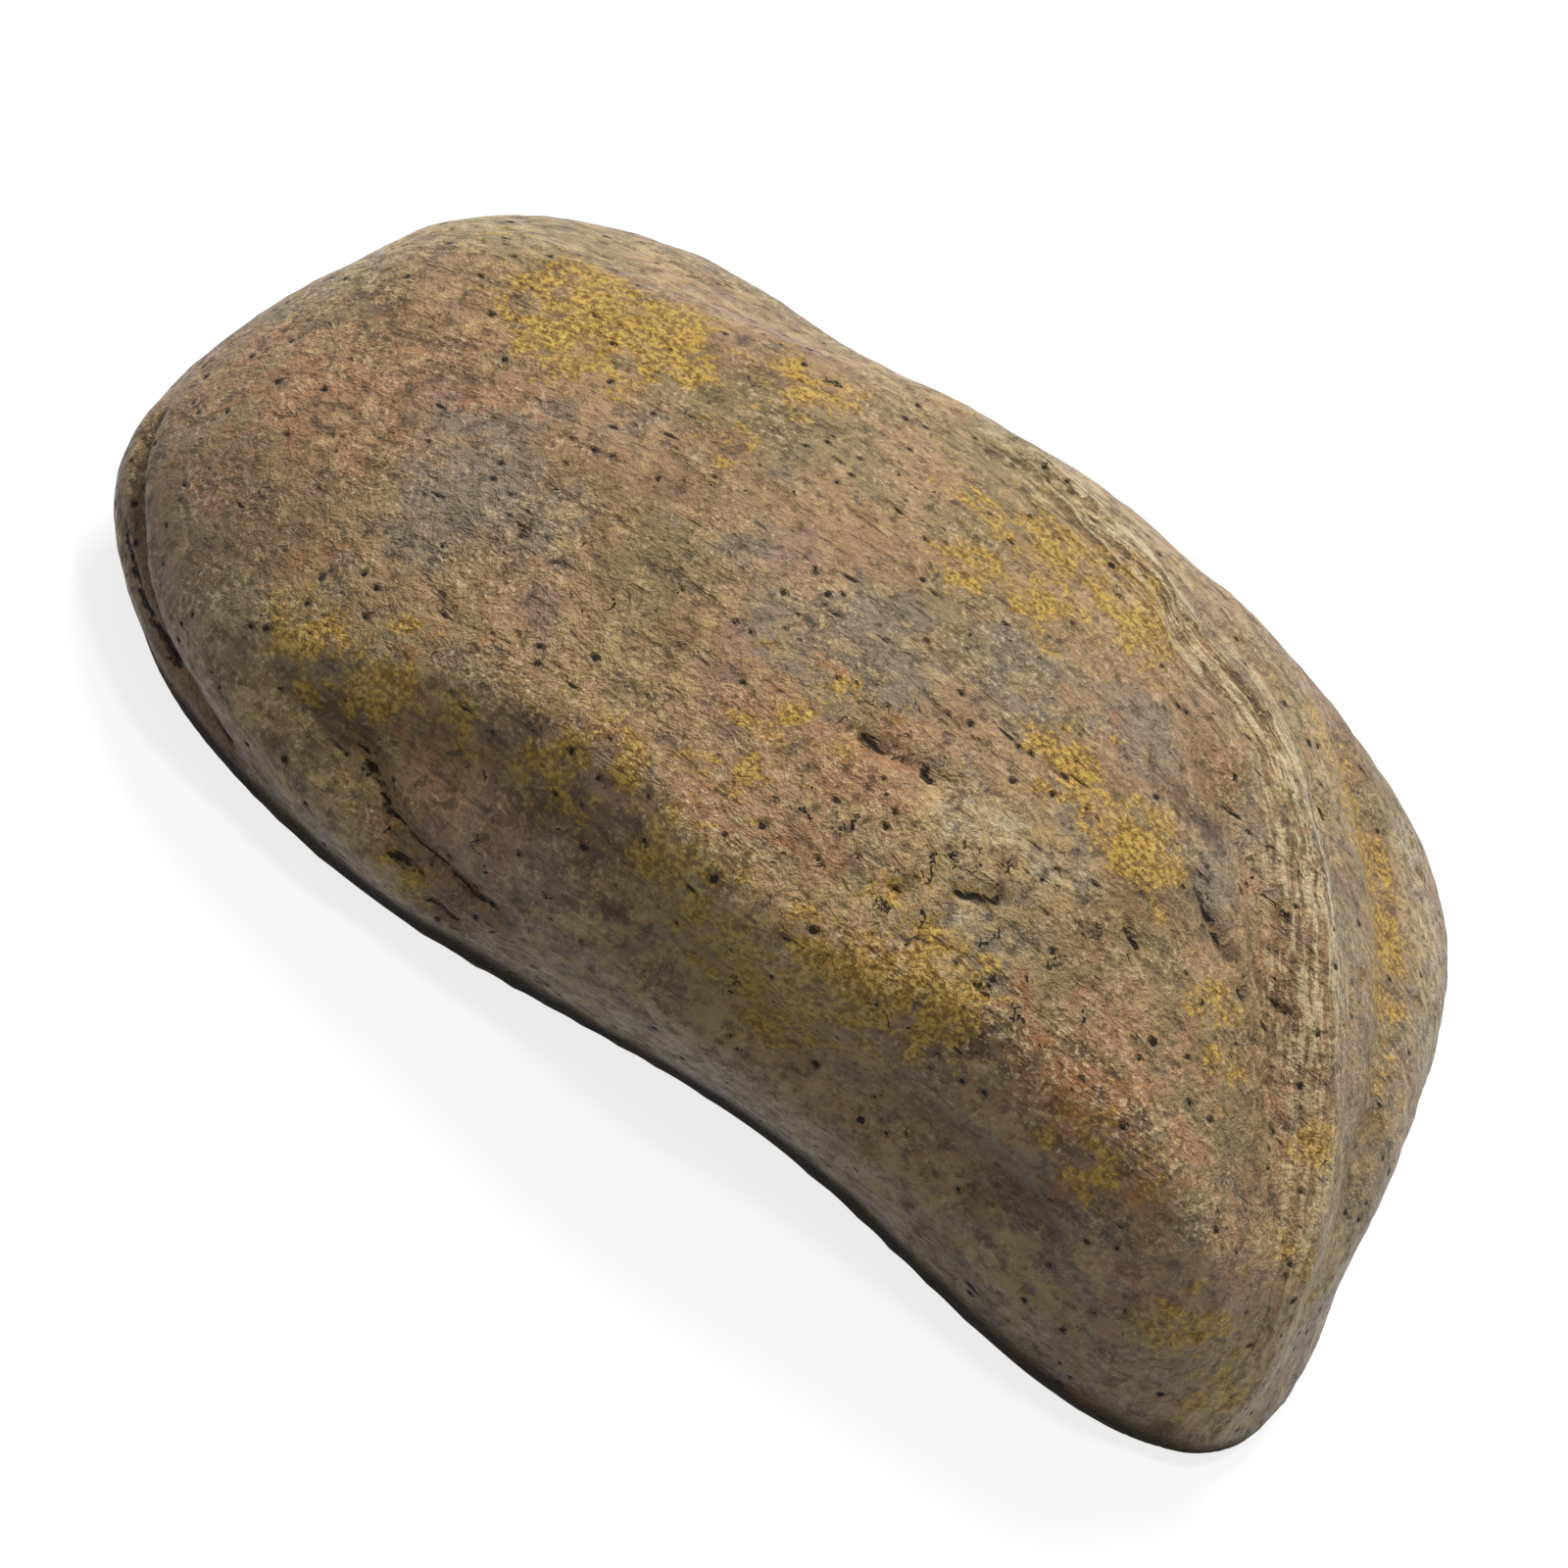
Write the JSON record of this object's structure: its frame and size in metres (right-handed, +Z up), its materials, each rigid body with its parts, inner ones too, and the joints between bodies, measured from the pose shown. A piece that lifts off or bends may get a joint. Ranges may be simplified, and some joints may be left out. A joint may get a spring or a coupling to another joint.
{
  "type": "hide a key rock",
  "caption": "Hollow imitation rock with a pocket in its flat base that hides a spare key; the rock lifts straight off the key.",
  "frame": {"origin": "middle of the base plane under the bounding box; the rock stands on z = 0", "axes": "+X along the rock's length to its blunt end, +Y to its far side, +Z up"},
  "size_m": [0.12, 0.082, 0.041],
  "materials": {
    "cast_rock": "painted satin, mottled",
    "key_blank": "nickel plated, brushed"
  },
  "bodies": {
    "key": {"spare_key": "key_blank"},
    "rock": {"rock_casting": "cast_rock"}
  },
  "joints": [
    {"name": "rock_lift", "type": "slide", "parent": "key", "child": "rock", "axis": [0, 0, 1], "range_m": [0, 0.06]}
  ]
}
